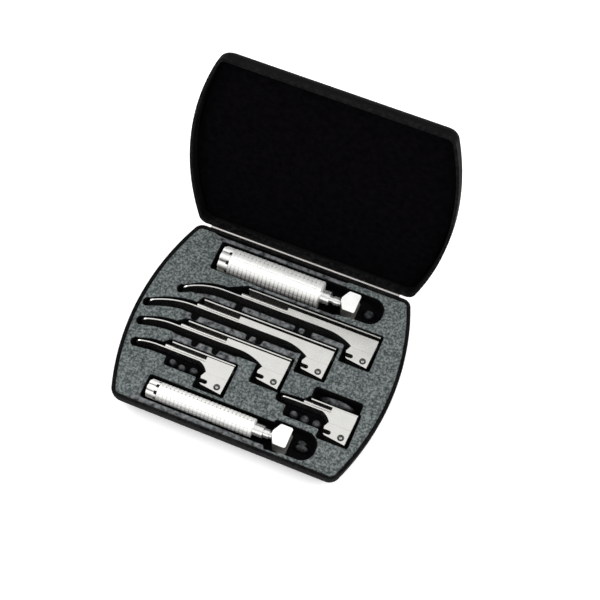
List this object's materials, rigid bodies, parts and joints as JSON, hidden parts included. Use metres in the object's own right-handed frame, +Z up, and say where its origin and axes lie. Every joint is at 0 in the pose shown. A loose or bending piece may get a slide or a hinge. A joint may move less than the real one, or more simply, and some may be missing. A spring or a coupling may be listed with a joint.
{
  "type": "laryngoscope set",
  "caption": "Hook-on laryngoscope set: battery handles and straight blades lie in a foam insert inside an open hinged case with bowed sides.",
  "frame": {"origin": "centre of the case's flat underside", "axes": "+X along the hinge, +Y towards the hinge, +Z up"},
  "size_m": [0.271, 0.2885, 0.2311],
  "materials": {
    "case_shell": "satin",
    "foam": "matte",
    "lining": "matte",
    "hinge_steel": "satin",
    "handle_chrome": "polished",
    "steel": "polished",
    "blade_steel": "satin",
    "spring_steel": "satin",
    "contact_brass": "satin",
    "cell_can": "satin",
    "lamp_glass": "gloss"
  },
  "bodies": {
    "case_base": {"case_base_shell": "case_shell", "foam_insert": "foam", "hinge_base_leaf": "hinge_steel", "hinge_base_rivets": "hinge_steel", "hinge_pin": "hinge_steel"},
    "case_lid": {"case_lid_shell": "case_shell", "lid_lining": "lining", "hinge_lid_leaf": "hinge_steel", "hinge_lid_rivets": "hinge_steel"},
    "large_handle": {"large_barrel": "handle_chrome", "large_battery_cells": "cell_can", "large_fork_head": "handle_chrome", "large_crossbar": "steel", "large_plunger_spring": "spring_steel"},
    "large_cap": {"large_end_cap": "handle_chrome", "large_cap_spring": "spring_steel"},
    "large_plunger": {"large_contact_plunger": "contact_brass"},
    "small_handle": {"small_barrel": "handle_chrome", "small_battery_cells": "cell_can", "small_fork_head": "handle_chrome", "small_crossbar": "steel", "small_plunger_spring": "spring_steel"},
    "small_cap": {"small_end_cap": "handle_chrome", "small_cap_spring": "spring_steel"},
    "small_plunger": {"small_contact_plunger": "contact_brass"},
    "blade_4": {"blade_4_channel": "blade_steel", "blade_4_heel_block": "blade_steel", "blade_4_lamp_tube": "blade_steel", "blade_4_lamp": "lamp_glass", "blade_4_detent_spring": "spring_steel"},
    "blade_4_upper_ball_body": {"blade_4_upper_ball": "steel"},
    "blade_4_lower_ball_body": {"blade_4_lower_ball": "steel"},
    "blade_3": {"blade_3_channel": "blade_steel", "blade_3_heel_block": "blade_steel", "blade_3_lamp_tube": "blade_steel", "blade_3_lamp": "lamp_glass", "blade_3_detent_spring": "spring_steel"},
    "blade_3_upper_ball_body": {"blade_3_upper_ball": "steel"},
    "blade_3_lower_ball_body": {"blade_3_lower_ball": "steel"},
    "blade_2": {"blade_2_channel": "blade_steel", "blade_2_heel_block": "blade_steel", "blade_2_lamp_tube": "blade_steel", "blade_2_lamp": "lamp_glass", "blade_2_detent_spring": "spring_steel"},
    "blade_2_upper_ball_body": {"blade_2_upper_ball": "steel"},
    "blade_2_lower_ball_body": {"blade_2_lower_ball": "steel"},
    "blade_1": {"blade_1_channel": "blade_steel", "blade_1_heel_block": "blade_steel", "blade_1_lamp_tube": "blade_steel", "blade_1_lamp": "lamp_glass", "blade_1_detent_spring": "spring_steel"},
    "blade_1_upper_ball_body": {"blade_1_upper_ball": "steel"},
    "blade_1_lower_ball_body": {"blade_1_lower_ball": "steel"},
    "blade_0": {"blade_0_channel": "blade_steel", "blade_0_heel_block": "blade_steel", "blade_0_lamp_tube": "blade_steel", "blade_0_lamp": "lamp_glass", "blade_0_detent_spring": "spring_steel"},
    "blade_0_upper_ball_body": {"blade_0_upper_ball": "steel"},
    "blade_0_lower_ball_body": {"blade_0_lower_ball": "steel"}
  },
  "joints": [
    {"name": "lid_hinge", "type": "hinge", "parent": "case_base", "child": "case_lid", "pos_m": [0, 0.1054, 0.03015], "axis": [-1, 0, 0], "range_deg": [-106.3, 0]},
    {"name": "large_handle_lift", "type": "slide", "parent": "case_base", "child": "large_handle", "axis": [0, 0, 1], "range_m": [0, 0.06]},
    {"name": "large_cap_turn", "type": "hinge", "parent": "large_handle", "child": "large_cap", "pos_m": [-0.0683, 0.078, 0.0237], "axis": [-1, 0, 0], "range_deg": [0, 540]},
    {"name": "large_plunger_press", "type": "slide", "parent": "large_handle", "child": "large_plunger", "axis": [-1, 0, 0], "range_m": [0, 0.0015], "stiffness_N_per_m": 800, "springref_m": -0.002, "deforming": ["large_plunger_spring"]},
    {"name": "small_handle_lift", "type": "slide", "parent": "case_base", "child": "small_handle", "axis": [0, 0, 1], "range_m": [0, 0.06]},
    {"name": "small_cap_turn", "type": "hinge", "parent": "small_handle", "child": "small_cap", "pos_m": [-0.0745, -0.082, 0.025], "axis": [-1, 0, 0], "range_deg": [0, 540]},
    {"name": "small_plunger_press", "type": "slide", "parent": "small_handle", "child": "small_plunger", "axis": [-1, 0, 0], "range_m": [0, 0.0015], "stiffness_N_per_m": 800, "springref_m": -0.002, "deforming": ["small_plunger_spring"]},
    {"name": "blade_4_lift", "type": "slide", "parent": "case_base", "child": "blade_4", "axis": [0, 0, 1], "range_m": [0, 0.06]},
    {"name": "blade_4_upper_ball_press", "type": "slide", "parent": "blade_4", "child": "blade_4_upper_ball_body", "axis": [0, 0, -1], "range_m": [0, 0.0005], "stiffness_N_per_m": 600, "springref_m": -0.001, "deforming": ["blade_4_detent_spring"]},
    {"name": "blade_4_lower_ball_press", "type": "slide", "parent": "blade_4", "child": "blade_4_lower_ball_body", "axis": [0, 0, 1], "range_m": [0, 0.0005], "stiffness_N_per_m": 600, "springref_m": -0.001},
    {"name": "blade_3_lift", "type": "slide", "parent": "case_base", "child": "blade_3", "axis": [0, 0, 1], "range_m": [0, 0.06]},
    {"name": "blade_3_upper_ball_press", "type": "slide", "parent": "blade_3", "child": "blade_3_upper_ball_body", "axis": [0, 0, -1], "range_m": [0, 0.0005], "stiffness_N_per_m": 600, "springref_m": -0.001, "deforming": ["blade_3_detent_spring"]},
    {"name": "blade_3_lower_ball_press", "type": "slide", "parent": "blade_3", "child": "blade_3_lower_ball_body", "axis": [0, 0, 1], "range_m": [0, 0.0005], "stiffness_N_per_m": 600, "springref_m": -0.001},
    {"name": "blade_2_lift", "type": "slide", "parent": "case_base", "child": "blade_2", "axis": [0, 0, 1], "range_m": [0, 0.06]},
    {"name": "blade_2_upper_ball_press", "type": "slide", "parent": "blade_2", "child": "blade_2_upper_ball_body", "axis": [0, 0, -1], "range_m": [0, 0.0005], "stiffness_N_per_m": 600, "springref_m": -0.001, "deforming": ["blade_2_detent_spring"]},
    {"name": "blade_2_lower_ball_press", "type": "slide", "parent": "blade_2", "child": "blade_2_lower_ball_body", "axis": [0, 0, 1], "range_m": [0, 0.0005], "stiffness_N_per_m": 600, "springref_m": -0.001},
    {"name": "blade_1_lift", "type": "slide", "parent": "case_base", "child": "blade_1", "axis": [0, 0, 1], "range_m": [0, 0.06]},
    {"name": "blade_1_upper_ball_press", "type": "slide", "parent": "blade_1", "child": "blade_1_upper_ball_body", "axis": [0, 0, -1], "range_m": [0, 0.0005], "stiffness_N_per_m": 600, "springref_m": -0.001, "deforming": ["blade_1_detent_spring"]},
    {"name": "blade_1_lower_ball_press", "type": "slide", "parent": "blade_1", "child": "blade_1_lower_ball_body", "axis": [0, 0, 1], "range_m": [0, 0.0005], "stiffness_N_per_m": 600, "springref_m": -0.001},
    {"name": "blade_0_lift", "type": "slide", "parent": "case_base", "child": "blade_0", "axis": [0, 0, 1], "range_m": [0, 0.06]},
    {"name": "blade_0_upper_ball_press", "type": "slide", "parent": "blade_0", "child": "blade_0_upper_ball_body", "axis": [0, 0, -1], "range_m": [0, 0.0005], "stiffness_N_per_m": 600, "springref_m": -0.001, "deforming": ["blade_0_detent_spring"]},
    {"name": "blade_0_lower_ball_press", "type": "slide", "parent": "blade_0", "child": "blade_0_lower_ball_body", "axis": [0, 0, 1], "range_m": [0, 0.0005], "stiffness_N_per_m": 600, "springref_m": -0.001}
  ]
}
